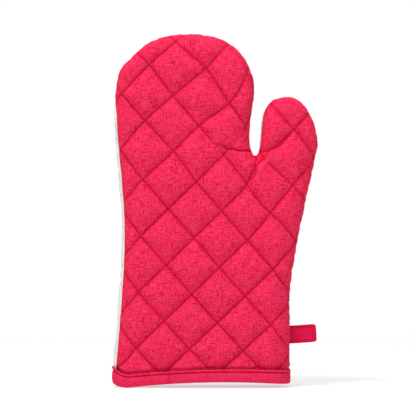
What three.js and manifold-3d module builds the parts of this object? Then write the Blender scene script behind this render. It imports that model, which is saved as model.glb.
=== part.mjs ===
// A quilted oven mitt, in millimetres, standing on its cuff.
// +Z runs from the cuff to the fingertips, +X points to the thumb side and +Y to the palm side.
// The origin is on the floor, under the middle of the mitt.
//
// Each side of the mitt is a sandwich: an outer shell, a wadding and a lining, quilted together by a
// lattice of stitching. The two sides are sewn along the outline, their raw edges lie inside as an
// overlocked seam allowance, a tape binds the cuff, and a folded tape makes the hanging loop.
// The thumb folds towards the palm about a crease, and every layer is divided along that crease.
import * as THREE from "three";
import { mergeVertices } from "three/addons/utils/BufferGeometryUtils.js";
import Module from "manifold-3d";

const wasm = await Module();
wasm.setup();

// Driving dimensions
const LENGTH = 310; // cuff rim to fingertips
const HALF_DEPTH = 22; // half the mitt's depth at the cuff
const TAPER = 0.35; // share of the depth that is lost between the cuff and the fingertips
const ROLL = 16; // width of the rounded edge all round the outline
const RIM = 1; // half the straight band at the crown of the rounded edge
const GAP = 0.3; // clearance between touching layers
const BELOW_CUFF = 40; // how far the form goes on below the cuff before it is cut off
const FAR = 900; // anything larger than the mitt

const SHELL = 0.8;
const WADDING = 5.2;
const LINING = 0.6;
const THREAD = 0.7; // thickness of a stitched line
const STITCH_WIDTH = 0.9;
const QUILT_MARGIN = 2.5; // the quilting stops this far inside the outline

// How deep each layer's outer face lies inside the mitt's outer surface
const WADDING_DEPTH = SHELL + GAP;
const LINING_DEPTH = WADDING_DEPTH + WADDING + GAP;
const CAVITY_DEPTH = LINING_DEPTH + LINING;

const TAPE = 0.9; // thickness of the cuff binding
const BINDING_HEIGHT = 13;
const BINDING_STITCH_Z = 10.4;
const ALLOWANCE_WIDTH = 7.5; // seam allowance inside the mitt
const ALLOWANCE_THICKNESS = 2.4;

// The seam between the two sides rolls forwards along the little finger and backwards at the thumb
const SEAM_X = 31; // where it crosses the middle plane
const SEAM_SLOPE = 0.086;

// The quilting is a lattice of diamonds, a little off square to the mitt
const DIAMOND_HALF_WIDTH = 23.3;
const DIAMOND_HALF_HEIGHT = 24.6;
const QUILT_LEAN = THREE.MathUtils.degToRad(-2.2);
const BACK_KNOT = [-18, 130.4]; // one crossing of the back's lattice
const PALM_KNOT = [-18, 121];
const QUILT_LINES = 6; // on each side of the knot

// The crease that the thumb folds about, from the thumb's inner edge down to the wrist
const CREASE_TOP = [42.5, 229];
const CREASE_BOTTOM = [67.5, 86];
const CREASE_GAP = 0.6;

const LOOP_Z = 37.2; // lower edge of the hanging loop's tape
const LOOP_TAPE_WIDTH = 16.6;
const LOOP_TAPE = 1.1;
const LOOP_REACH = 89.5; // x of the loop's outer end
const LOOP_EYE_HALF = 2.9; // half the eye's width
const LOOP_EYE_START = 5; // from the root pivot to the eye

// The outline of the mitt, seen from the back of the hand. It starts at the cuff's left corner. Each
// row is a curve's two handles and its end, as x, z.
const OUTLINE_START = [-88.6, 8];
const OUTLINE = [
  [-88.6, 24, -81.2, 96.5, -81.2, 132], // to the little finger's knuckle
  [-81.2, 171, -88.3, 214, -88.3, 240], // up the little finger
  [-88.3, 256, -87.3, 276, -78.7, 284],
  [-66.9, 295, -59.3, LENGTH, -20.5, LENGTH], // to the fingertips
  [29.8, LENGTH, 35.6, 270.5, 35.6, 260], // down the index finger
  [35.6, 253, 31.2, 231.6, 31.2, 220],
  [31.2, 211.6, 34.2, 203.3, 35.2, 203.3], // into the crotch
  [38.8, 203.3, 38.6, 211, 39.3, 216],
  [40.8, 234, 40.4, 254.6, 62.5, 254.6], // to the thumb's tip
  [80.8, 254.6, 90.8, 231.3, 90.8, 211],
  [90.8, 205, 66.3, 110, 66.3, 76], // down the thumb's outer side to the wrist
];
const CUFF_RIGHT = OUTLINE.at(-1)[4];
const OUTLINE_STEPS = 4; // points to each curve
const ROLL_STEPS = 3; // facets across the rounded edge

function colour(name, hex, roughness = 0.9) {
  return new THREE.MeshStandardMaterial({ name, color: hex, roughness, metalness: 0 });
}

const MATERIALS = {
  shell: colour("raspberry cotton", 0xe62653),
  palm: colour("natural cotton", 0xe3e0d6),
  wadding: colour("polyester wadding", 0xf4f2ec, 0.95),
  lining: colour("cotton lining", 0xe9e4d8),
  tape: colour("raspberry tape", 0xd81f55),
  thread: colour("raspberry thread", 0xc2183f, 0.6),
};

// A geometry as a manifold solid
function solid(geometry) {
  geometry.deleteAttribute("normal");
  geometry.deleteAttribute("uv");
  const merged = mergeVertices(geometry, 1e-4);
  return new wasm.Manifold(
    new wasm.Mesh({
      numProp: 3,
      vertProperties: merged.attributes.position.array,
      triVerts: new Uint32Array(merged.index.array),
    }),
  );
}

// A box between two corners
function block(low, high) {
  const size = high.map((value, i) => value - low[i]);
  const geometry = new THREE.BoxGeometry(...size);
  geometry.translate(...low.map((value, i) => value + size[i] / 2));
  return solid(geometry);
}

// Everything in front of the plane through point, on the side that normal points to
function halfSpace(point, normal, offset = 0) {
  const direction = new THREE.Vector3(...normal).normalize();
  const turn = new THREE.Quaternion().setFromUnitVectors(new THREE.Vector3(1, 0, 0), direction);
  const geometry = new THREE.BoxGeometry(FAR, FAR, FAR);
  geometry.translate(FAR / 2 + offset, 0, 0);
  geometry.applyQuaternion(turn);
  geometry.translate(...point);
  return solid(geometry);
}

function mittShape() {
  const [left, corner] = OUTLINE_START;
  const path = new THREE.Shape();
  path.moveTo(left, -BELOW_CUFF);
  path.lineTo(left, corner);
  for (const curve of OUTLINE) {
    path.bezierCurveTo(...curve);
  }
  path.lineTo(CUFF_RIGHT, -BELOW_CUFF);
  return new THREE.Shape(path.getPoints(OUTLINE_STEPS));
}

// The mitt's padded form, shrunk by inset all over: flat sides, rounded edges, thinner at the fingertips
function form(inset) {
  const geometry = new THREE.ExtrudeGeometry(mittShape(), {
    depth: 2 * RIM,
    bevelThickness: HALF_DEPTH - RIM - inset,
    bevelSize: ROLL - inset,
    bevelOffset: -ROLL,
    bevelSegments: ROLL_STEPS,
  });
  geometry.translate(0, 0, -RIM);
  geometry.rotateX(Math.PI / 2);
  const position = geometry.attributes.position;
  for (let i = 0; i < position.count; i++) {
    position.setY(i, position.getY(i) * depthShare(position.getZ(i)));
  }
  return solid(geometry);
}

function depthShare(z) {
  return 1 - (TAPER * z) / LENGTH;
}

// The outline shrunk by inset, as a wall that runs right through the mitt's depth
function cookie(inset) {
  const geometry = new THREE.ExtrudeGeometry(mittShape(), {
    depth: 2 * HALF_DEPTH,
    bevelThickness: RIM,
    bevelSize: 0,
    bevelOffset: -inset,
    bevelSegments: 1,
  });
  geometry.translate(0, 0, -HALF_DEPTH);
  geometry.rotateX(Math.PI / 2);
  return solid(geometry);
}

function skin(depth, thickness) {
  return form(depth).subtract(form(depth + thickness));
}

// Regions that divide the mitt: the back and palm sides, and the thumb and hand
const SEAM_POINT = [SEAM_X, 0, 0];
const TO_PALM = [-SEAM_SLOPE, 1, 0];
const TO_BACK = [SEAM_SLOPE, -1, 0];
const CREASE_POINT = [CREASE_TOP[0], 0, CREASE_TOP[1]];
const TO_THUMB = [CREASE_TOP[1] - CREASE_BOTTOM[1], 0, CREASE_BOTTOM[0] - CREASE_TOP[0]];
const TO_HAND = TO_THUMB.map((value) => -value);

const onBack = (offset = GAP / 2) => halfSpace(SEAM_POINT, TO_BACK, offset);
const onPalm = (offset = GAP / 2) => halfSpace(SEAM_POINT, TO_PALM, offset);
const inThumb = halfSpace(CREASE_POINT, TO_THUMB, CREASE_GAP / 2);
const inHand = halfSpace(CREASE_POINT, TO_HAND, CREASE_GAP / 2);
const aboveBindingFold = halfSpace([0, 0, TAPE + GAP], [0, 0, 1]);

function largest(solidBody) {
  return solidBody.decompose().reduce((a, b) => (a.volume() > b.volume() ? a : b));
}

// Bars along every quilting line, cutting right through the mitt
function lattice([knotX, knotZ]) {
  const slant = Math.atan2(DIAMOND_HALF_HEIGHT, DIAMOND_HALF_WIDTH);
  const spacing = 2 * DIAMOND_HALF_WIDTH * Math.sin(slant);
  const bars = [];
  for (const lean of [slant + QUILT_LEAN, -slant + QUILT_LEAN]) {
    for (let i = -QUILT_LINES; i <= QUILT_LINES; i++) {
      const bar = new THREE.BoxGeometry(FAR, 4 * HALF_DEPTH, STITCH_WIDTH);
      bar.translate(0, 0, i * spacing);
      bar.rotateY(-lean);
      bar.translate(knotX, 0, knotZ);
      bars.push(solid(bar));
    }
  }
  return wasm.Manifold.union(bars);
}

// The cuff binding: a tape folded over the raw edges of both sides
function cuffBinding() {
  const outside = TAPE + GAP;
  const around = form(-outside).subtract(form(CAVITY_DEPTH + outside));
  const filling = form(-GAP).subtract(form(CAVITY_DEPTH + GAP));
  return around
    .intersect(block([-FAR, -FAR, 0], [FAR, FAR, BINDING_HEIGHT]))
    .subtract(filling.intersect(halfSpace([0, 0, TAPE], [0, 0, 1])));
}

function bindingStitching() {
  const band = block([-FAR, -FAR, BINDING_STITCH_Z], [FAR, FAR, BINDING_STITCH_Z + STITCH_WIDTH]);
  return skin(-TAPE - 2 * GAP - THREAD, THREAD).intersect(band);
}

// The raw edges of both sides, overlocked together, standing into the mitt all round the seam
function seamAllowance() {
  const edge = CAVITY_DEPTH + GAP;
  return form(edge)
    .subtract(cookie(edge + ALLOWANCE_WIDTH))
    .intersect(onBack(-ALLOWANCE_THICKNESS / 2))
    .intersect(onPalm(-ALLOWANCE_THICKNESS / 2))
    .intersect(halfSpace([0, 0, BINDING_HEIGHT + 2 * GAP], [0, 0, 1]));
}

// The hanging loop: a tape folded back on itself, its ends held together at the side seam.
// The root is round, about the pivot that the loop swings on.
const LOOP_ROOT = [CUFF_RIGHT + GAP + LOOP_TAPE, (CUFF_RIGHT - SEAM_X) * SEAM_SLOPE];

function hangingLoop() {
  const [rootX, rootY] = LOOP_ROOT;
  const reach = LOOP_REACH - rootX;
  const half = LOOP_EYE_HALF + LOOP_TAPE;
  const shape = new THREE.Shape();
  shape.absarc(0, 0, LOOP_TAPE, Math.PI / 2, (3 * Math.PI) / 2);
  shape.lineTo(reach / 2, -half);
  shape.lineTo(reach - LOOP_EYE_HALF, -half);
  shape.lineTo(reach, -half / 2);
  shape.lineTo(reach, half / 2);
  shape.lineTo(reach - LOOP_EYE_HALF, half);
  shape.lineTo(reach / 2, half);
  const eye = new THREE.Path();
  eye.moveTo(LOOP_EYE_START, 0);
  eye.lineTo(reach / 2, LOOP_EYE_HALF);
  eye.lineTo(reach - LOOP_EYE_HALF, LOOP_EYE_HALF);
  eye.lineTo(reach - LOOP_TAPE, LOOP_EYE_HALF / 2);
  eye.lineTo(reach - LOOP_TAPE, -LOOP_EYE_HALF / 2);
  eye.lineTo(reach - LOOP_EYE_HALF, -LOOP_EYE_HALF);
  eye.lineTo(reach / 2, -LOOP_EYE_HALF);
  shape.holes.push(eye);
  const geometry = new THREE.ExtrudeGeometry(shape, {
    depth: LOOP_TAPE_WIDTH,
    bevelEnabled: false,
    curveSegments: 6,
  });
  geometry.translate(rootX, rootY, LOOP_Z);
  return solid(geometry);
}

const mitt = new THREE.Group();

function addPiece(name, body, material) {
  const { vertProperties, triVerts, numProp } = body.getMesh();
  const geometry = new THREE.BufferGeometry();
  geometry.setAttribute("position", new THREE.BufferAttribute(vertProperties, numProp));
  geometry.setIndex(new THREE.BufferAttribute(triVerts, 1));
  const mesh = new THREE.Mesh(geometry, material);
  mesh.name = name;
  mitt.add(mesh);
}

// A layer of one side, as a piece for the hand and a piece for the thumb
function addLayer(name, layer, material) {
  addPiece(`${name}_hand`, largest(layer.intersect(inHand)), material);
  addPiece(`${name}_thumb`, largest(layer.intersect(inThumb)), material);
}

function addSide(side, inSide, shellMaterial, knot) {
  const sheet = (depth, thickness) =>
    skin(depth, thickness).intersect(inSide()).intersect(aboveBindingFold);
  addLayer(`${side}_shell`, sheet(0, SHELL), shellMaterial);
  addLayer(`${side}_wadding`, sheet(WADDING_DEPTH, WADDING), MATERIALS.wadding);
  addLayer(`${side}_lining`, sheet(LINING_DEPTH, LINING), MATERIALS.lining);
  const stitching = skin(-GAP - THREAD, THREAD)
    .intersect(inSide(GAP))
    .intersect(cookie(QUILT_MARGIN))
    .intersect(halfSpace([0, 0, BINDING_HEIGHT + 2 * GAP], [0, 0, 1]))
    .intersect(lattice(knot));
  addLayer(`${side}_quilting`, stitching, MATERIALS.thread);
}

function addSeamAllowance() {
  const allowance = seamAllowance();
  const strips = allowance.intersect(inHand).decompose();
  strips.sort((a, b) => b.volume() - a.volume());
  addPiece("seam_allowance_fingers", strips[0], MATERIALS.lining);
  addPiece("seam_allowance_wrist", strips[1], MATERIALS.lining);
  addPiece("seam_allowance_thumb", largest(allowance.intersect(inThumb)), MATERIALS.lining);
}

addSide("back", onBack, MATERIALS.shell, BACK_KNOT);
addSide("palm", onPalm, MATERIALS.palm, PALM_KNOT);
addSeamAllowance();
addPiece("cuff_binding", cuffBinding(), MATERIALS.tape);
addPiece("binding_stitching", bindingStitching(), MATERIALS.thread);
addPiece("hanging_loop", hangingLoop(), MATERIALS.tape);

export default mitt;
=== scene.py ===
"""Looks for the quilted oven mitt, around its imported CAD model.

The mitt stands on its cuff: +Z to the fingertips, +X to the thumb's side, +Y to the palm. Lengths here
are in millimetres, and become metres when a mesh is made. A point of the fabric is described by its place
in front view (x, z), how far it has turned round the mitt's rounded edge (0 at the crown, a quarter turn
on the flat of the side) and how deep it lies under the mitt's outer surface.
"""

import math
from contextlib import contextmanager

import bmesh
import bpy
import numpy as np
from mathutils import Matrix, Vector, noise
from mathutils.geometry import delaunay_2d_cdt
from mathutils.kdtree import KDTree


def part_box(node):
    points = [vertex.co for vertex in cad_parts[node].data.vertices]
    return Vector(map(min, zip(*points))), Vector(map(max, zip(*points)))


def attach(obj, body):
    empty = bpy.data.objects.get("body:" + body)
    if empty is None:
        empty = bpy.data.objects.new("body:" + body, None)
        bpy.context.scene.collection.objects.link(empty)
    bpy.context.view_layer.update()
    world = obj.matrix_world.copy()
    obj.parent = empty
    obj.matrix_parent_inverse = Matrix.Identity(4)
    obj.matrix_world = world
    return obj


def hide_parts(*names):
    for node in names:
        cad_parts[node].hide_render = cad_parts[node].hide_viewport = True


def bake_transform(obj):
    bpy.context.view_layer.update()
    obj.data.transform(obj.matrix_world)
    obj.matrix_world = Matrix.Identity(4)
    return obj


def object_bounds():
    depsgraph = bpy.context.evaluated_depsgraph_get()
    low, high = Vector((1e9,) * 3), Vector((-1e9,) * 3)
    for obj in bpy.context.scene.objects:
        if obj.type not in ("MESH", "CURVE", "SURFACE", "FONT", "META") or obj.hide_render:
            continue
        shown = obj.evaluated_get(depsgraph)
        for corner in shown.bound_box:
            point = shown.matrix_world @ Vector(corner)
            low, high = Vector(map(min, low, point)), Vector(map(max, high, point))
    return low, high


MM = 0.001
TURN = math.pi / 2  # how far the fabric turns from the crown of the edge to the flat of a side

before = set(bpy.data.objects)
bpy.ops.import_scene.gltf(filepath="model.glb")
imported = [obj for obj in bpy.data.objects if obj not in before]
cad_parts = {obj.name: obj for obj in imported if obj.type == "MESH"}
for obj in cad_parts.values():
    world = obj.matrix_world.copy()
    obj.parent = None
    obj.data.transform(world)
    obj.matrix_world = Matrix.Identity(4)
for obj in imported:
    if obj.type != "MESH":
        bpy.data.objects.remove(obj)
cad_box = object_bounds()

# The mitt's form. The outline and the taper are the CAD model's.
LENGTH = cad_box[1].z / MM
HALF_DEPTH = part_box("palm_shell_hand")[1].y / MM
TAPER = 0.35  # share of the depth that is lost between the cuff and the fingertips
ROLL = 16  # width of the rounded edge in front view
MEAN_HALF_DEPTH = 0.85 * HALF_DEPTH
CROTCH = (35.2, 203.3)
CROTCH_REACH = 16  # this near the crotch the quilting is not rolled round the edge
EDGE_STEPS = 401
OUTLINE_START = (-88.6, 8)
OUTLINE = [  # each row is a curve's two handles and its end, as x, z
    (-88.6, 24, -81.2, 96.5, -81.2, 132),
    (-81.2, 171, -88.3, 214, -88.3, 240),
    (-88.3, 256, -87.3, 276, -78.7, 284),
    (-66.9, 295, -59.3, LENGTH, -20.5, LENGTH),
    (29.8, LENGTH, 35.6, 270.5, 35.6, 260),
    (35.6, 253, 31.2, 231.6, 31.2, 220),
    (31.2, 211.6, 34.2, 203.3, 35.2, 203.3),
    (38.8, 203.3, 38.6, 211, 39.3, 216),
    (40.8, 234, 40.4, 254.6, 62.5, 254.6),
    (80.8, 254.6, 90.8, 231.3, 90.8, 211),
    (90.8, 205, 66.3, 110, 66.3, 76),
]
CUFF_LEFT = OUTLINE_START[0]
CUFF_RIGHT = OUTLINE[-1][4]
PANEL_FOOT = 3  # height of the panels' lower edge, inside the binding
BAND_TURN = math.radians(46)  # a mesh has rows of faces along the seam as far round as this
BAND_ROWS = 9
INNER_RING = ROLL * (1 - math.cos(BAND_TURN))  # width of those rows in front view
NET_HALF_WIDTH = 95  # the nets lie within this distance of the middle

# The seam between the back and the palm. On the little finger's side it has rolled to the front.
SEAM_ROLL = math.radians(24)
SEAM_ROLL_TOP = (236, 258)  # the roll fades out between these heights
SEAM_WAVER = 0.05  # how much the roll varies along the seam, as an angle
SEAM_VALLEY = 1.3
SEAM_VALLEY_WIDTH = 2.6

# The layers, as depths under the outer surface
PADDING_GAP = 0.7  # room between the shell and the wadding
RIM_GAP = 1.7  # more room under the shell where it rolls over to the seam
PADDING_BACK = 6.2
LINING_DEPTH = 6.8
GROOVE = 4.0  # how deep the quilting pulls the shell in
GROOVE_WIDTH = 4.2
SHELL_REST = 1.4  # depth of the shell between the stitching before the wadding blows it up
EDGE_GROOVE = 0.3  # share of the groove that is left at the crown of the edge
SPARE_FABRIC = 0.03  # share by which the shell is longer than the wadding that it's stitched to
PUFF_PRESSURE = 1500
PUFF_FRAMES = 14
UNEVEN = 0.5  # height of the shell's broad lumps

# The quilting: a lattice of diamonds, a little off square to the mitt
DIAMOND_HALF_WIDTH = 23.3
DIAMOND_HALF_HEIGHT = 24.6
QUILT_LEAN = math.radians(-2.2)
BACK_KNOT = (-18, 130.4)
PALM_KNOT = (-18, 121)
THUMB_PULL = 9.5  # how far the gathered crotch has drawn the thumb's quilting towards the hand
QUILT_WANDER = [  # x, z and how far the lines run off there
    (-7, 279, 4.8, 0.9),
    (12, 249, 2.4, -4.1),
    (-57, 282, 1.8, 2.3),
    (-61, 234, 0, 2.6),
    (-36, 206, 2.7, 1),
    (46, 201, -3.2, -0.5),
]
WANDER_REACH = 22
LATTICE_REACH = 8  # lines of quilting to each side of the knot
STITCH = 3.4
THREAD_RADIUS = 0.3

# Creases, each as its depth where it starts and its line in x, z. The first three run out of the crotch.
FOLDS = [
    (4.2, [(34, 206.5), (22, 206.7), (12, 208.8), (-3, 214)]),
    (4.2, [(36, 205), (36.1, 188), (34, 183), (27, 177)]),
    (4.0, [(38, 204), (46, 206.5), (57, 211), (69, 225)]),
    (1.0, [(-26, 244.5), (-18, 241.5), (-8, 240.5), (6, 235)]),
]
FOLD_LIMIT = 4.6  # the creases go no deeper than this under the outer surface
FOLD_WIDTH = 3.0
FOLD_CREASE = 1.0
FOLD_SHADE = 1.5  # how much more painted shade a crease may get than the stitching
PAINTED_SHADE_WIDTH = 0.9  # shade is painted on the cloth this near the stitching
PINCH = 0.45  # share of the way that the deepest crease draws the cloth beside it in
CREASED = (-40, 165, 260)  # the creases lie right of this x and between these heights
GATHERS = [  # how much of the quilting the crotch's gathers hide, and the line that they lie along
    (1.0, [(38, 190), (52, 207)]),
    (0.6, [(-1, 213), (4, 207)]),
    (0.6, [(14, 206), (29, 221)]),
]
GATHER_REACH = 3

# The cuff: the rim lifts off the floor in the middle
CUFF_LIFT = 4.8
CUFF_LIFT_CENTRE = 9
CUFF_LIFT_HALF = 86
CUFF_LIFT_FADE = 95
CORNER_LIFT = 6.5  # the corner on the little finger's side curls up
CORNER_WIDTH = 14
CORNER_TOP = 13
CORNER_FADE = 45
BINDING_LEFT = 11.6
BINDING_RIGHT = 13.4
BINDING_JOIN = -39.5
BINDING_STEP = 1.2
BIAS = math.sqrt(0.5)  # the tape is cut at 45 degrees to its weave
BINDING_SQUEEZE = 2.2  # how far the binding presses the layers in

LOOP_CENTRE_Y = 3.0358
LOOP_CENTRE_Z = 45.5
LOOP_WIDTH = 15.7
LOOP_END = 89
LOOP_ROOT = 65
LOOP_TILT = math.radians(3.3)
LOOP_BEND = 1.1
LOOP_CORNER = 1.9
LOOP_HALF_THICKNESS = 0.5
LOOP_RIM = 1.6
LOOP_SEWN = 2.2  # distance of the topstitching from the tape's edge
LOOP_STITCH = 2.6
LOOP_STEP = 0.7

# The raw edges inside the seam, as distances from the outline
ALLOWANCE_FROM = 7.4
ALLOWANCE_TO = 13.5
ALLOWANCE_HALF = 1.0
ALLOWANCE_FOOT = 16
ALLOWANCE_STEP = 3.0


def smooth(value, low, high):
    """0 below low, 1 above high and a smooth rise in between."""
    t = np.clip((np.asarray(value, float) - low) / (high - low), 0, 1)
    return t * t * (3 - 2 * t)


def half_depth(z):
    return HALF_DEPTH * (1 - TAPER * z / LENGTH)


def within(points, polygon):
    """Whether each point lies inside a closed polygon."""
    a, b = polygon, np.roll(polygon, -1, axis=0)
    rise = np.where(a[:, 1] == b[:, 1], 1, b[:, 1] - a[:, 1])
    height = points[:, 1:]
    crossed = (a[:, 1] > height) != (b[:, 1] > height)
    where = a[:, 0] + (b[:, 0] - a[:, 0]) * (height - a[:, 1]) / rise
    return (crossed & (points[:, :1] < where)).sum(axis=1) % 2 == 1


def unit(vectors):
    return vectors / np.linalg.norm(vectors, axis=1)[:, None]


def lumps(points, size, seed):
    """Smooth noise from -1 to 1 at 2-D or 3-D points, for lumps of about that size."""
    padded = [tuple(p) + (0,) * (3 - len(p)) for p in points]
    shift = Vector((seed * 17.3, seed * 5.1, seed * 9.7))
    return np.array([noise.noise(Vector(p) / size + shift) for p in padded])


# -------- outline


def curve_points(start, row, count):
    t = np.linspace(0, 1, count + 1)[1:, None]
    a, b, c, d = (np.array(p, float) for p in (start, row[0:2], row[2:4], row[4:6]))
    return (1 - t) ** 3 * a + 3 * (1 - t) ** 2 * t * b + 3 * (1 - t) * t**2 * c + t**3 * d


def evenly(line, spacing, inset=0):
    """The same line with points that far apart, on it and on its parallel that far to its right."""
    steps = np.linalg.norm(np.diff(line, axis=0), axis=1)
    if inset:
        along = np.gradient(line, axis=0)
        heading = np.unwrap(np.arctan2(along[:, 1], along[:, 0]))
        steps += np.maximum(0, inset * np.diff(heading))
    along = np.concatenate([[0], np.cumsum(steps)])
    places = np.linspace(0, along[-1], max(2, round(along[-1] / spacing) + 1))
    return np.column_stack([np.interp(places, along, line[:, k]) for k in range(line.shape[1])])


def outline(spacing, foot=PANEL_FOOT):
    """Points from the cuff's left over the fingers and the thumb, and their outward normals."""
    line = [np.array([(CUFF_LEFT, foot), OUTLINE_START], float)]
    for row in OUTLINE:
        line.append(curve_points(line[-1][-1], row, 40))
    line.append(np.array([(CUFF_RIGHT, foot)], float))
    points = evenly(np.concatenate(line), spacing, inset=INNER_RING)
    along = np.gradient(points, axis=0)
    normals = unit(np.column_stack([-along[:, 1], along[:, 0]]))
    normals[0] = (-1, 0)
    normals[-1] = (1, 0)
    return points, normals


class Edge:
    """Finds the nearest place on the outline."""

    def __init__(self):
        self.points, self.normals = outline(0.5, foot=-60)
        self.tree = KDTree(len(self.points))
        for i, p in enumerate(self.points):
            self.tree.insert((p[0], p[1], 0), i)
        self.tree.balance()

    def inside(self, points):
        """How far each point lies inside the outline, and the outward normal there."""
        nearest = [self.tree.find((p[0], p[1], 0))[1] for p in points]
        normals = self.normals[nearest]
        return np.einsum("ij,ij->i", self.points[nearest] - points, normals), normals


EDGE = Edge()


def turn_of(inset):
    """How far round the edge the fabric has turned where it lies that far inside the outline."""
    return np.arccos(1 - np.clip(inset, 0, ROLL) / ROLL)


EDGE_TURNS = np.linspace(-TURN, TURN, EDGE_STEPS)


def edge_arcs():
    """Distances along the fabric from the crown to each of those turns."""
    slope = np.hypot(ROLL * np.sin(EDGE_TURNS), MEAN_HALF_DEPTH * np.cos(EDGE_TURNS))
    steps = (slope[1:] + slope[:-1]) / 2 * np.diff(EDGE_TURNS)
    arcs = np.concatenate([[0], np.cumsum(steps)])
    return arcs - arcs[len(arcs) // 2]


EDGE_ARCS = edge_arcs()
RING_ARC = np.interp(BAND_TURN, EDGE_TURNS, EDGE_ARCS)


def crotch_share(flat):
    """1 at the crotch and 0 away from it."""
    return np.exp(-((np.linalg.norm(flat - CROTCH, axis=1) / CROTCH_REACH) ** 4))


def roll_out(points, turn, normals):
    """Places on the flat cut for points of the outline's band, unrolled from the inner ring."""
    shown = ROLL * (1 - np.cos(turn))
    unrolled = INNER_RING - (RING_ARC - np.interp(turn, EDGE_TURNS, EDGE_ARCS))
    share = crotch_share(points)
    return points - normals * (unrolled * (1 - share) + shown * share)[:, None]


def roll_up(cut):
    """Where places on the flat cut come to lie: in front view, their turn and their normals."""
    inset, normals = EDGE.inside(cut)
    rolled = np.interp(RING_ARC - (INNER_RING - inset), EDGE_ARCS, EDGE_TURNS)
    turn = np.where(inset < INNER_RING, rolled, turn_of(inset))
    shown = np.where(inset < INNER_RING, ROLL * (1 - np.cos(turn)), inset)
    return cut + normals * (inset - shown)[:, None], turn, normals, inset


def place(flat, turn, normals, side, depth):
    """Points of the fabric in space. side is -1 for the back and 1 for the palm."""
    deep = half_depth(flat[:, 1])
    outward, across = deep * np.cos(turn), ROLL * np.sin(turn)
    size = np.hypot(outward, across)
    out = np.column_stack(
        [normals[:, 0] * outward / size, side * across / size, normals[:, 1] * outward / size]
    )
    surface = np.column_stack([flat[:, 0], side * deep * np.sin(turn), flat[:, 1]])
    return surface - out * np.asarray(depth).reshape(-1, 1)


# -------- quilting lattice

SLANT = math.atan2(DIAMOND_HALF_HEIGHT, DIAMOND_HALF_WIDTH)
SIDE = math.hypot(DIAMOND_HALF_WIDTH, DIAMOND_HALF_HEIGHT)
LATTICE = SIDE * np.array(
    [[math.cos(a + QUILT_LEAN), math.sin(a + QUILT_LEAN)] for a in (SLANT, -SLANT)]
)
LINE_SPACING = SIDE * math.sin(2 * SLANT)


def drift(q):
    """How far the quilting lies off its regular lattice."""
    share = smooth(q[:, 0], 20, 55) * smooth(q[:, 1], 120, 190)
    off = np.column_stack([-THUMB_PULL * share, np.zeros(len(q))])
    for x, z, dx, dz in QUILT_WANDER:
        near = np.exp(-((q[:, 0] - x) ** 2 + (q[:, 1] - z) ** 2) / WANDER_REACH**2)
        off += near[:, None] * (dx, dz)
    return off


def from_lattice(uv, knot):
    """Places of lattice coordinates. Lines of quilting run where either is a whole number."""
    q = np.array(knot) + np.asarray(uv, float) @ LATTICE
    return q + drift(q)


def to_lattice(flat, knot):
    q = flat.copy()
    for _ in range(8):
        q = flat - drift(q)
    return (q - np.array(knot)) @ np.linalg.inv(LATTICE)


def line_distance(uv):
    return np.abs(uv - np.round(uv)).min(axis=1) * LINE_SPACING


# -------- one side of the mitt


def seam_turn(points):
    """How far the seam has rolled towards the front at these points of the outline."""
    x, z = points.T
    left = smooth(-x, 40, 60) * (1 - smooth(z, *SEAM_ROLL_TOP))
    crotch = smooth(x, 37, 39) * (1 - smooth(x, 44, 50)) * smooth(z, 205, 212)
    thumb = smooth(x, 60, 64)
    waver = SEAM_WAVER * lumps(points, 14, 3) * left
    return SEAM_ROLL * left + 0.1 * crotch - 0.1 * thumb + waver


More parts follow.
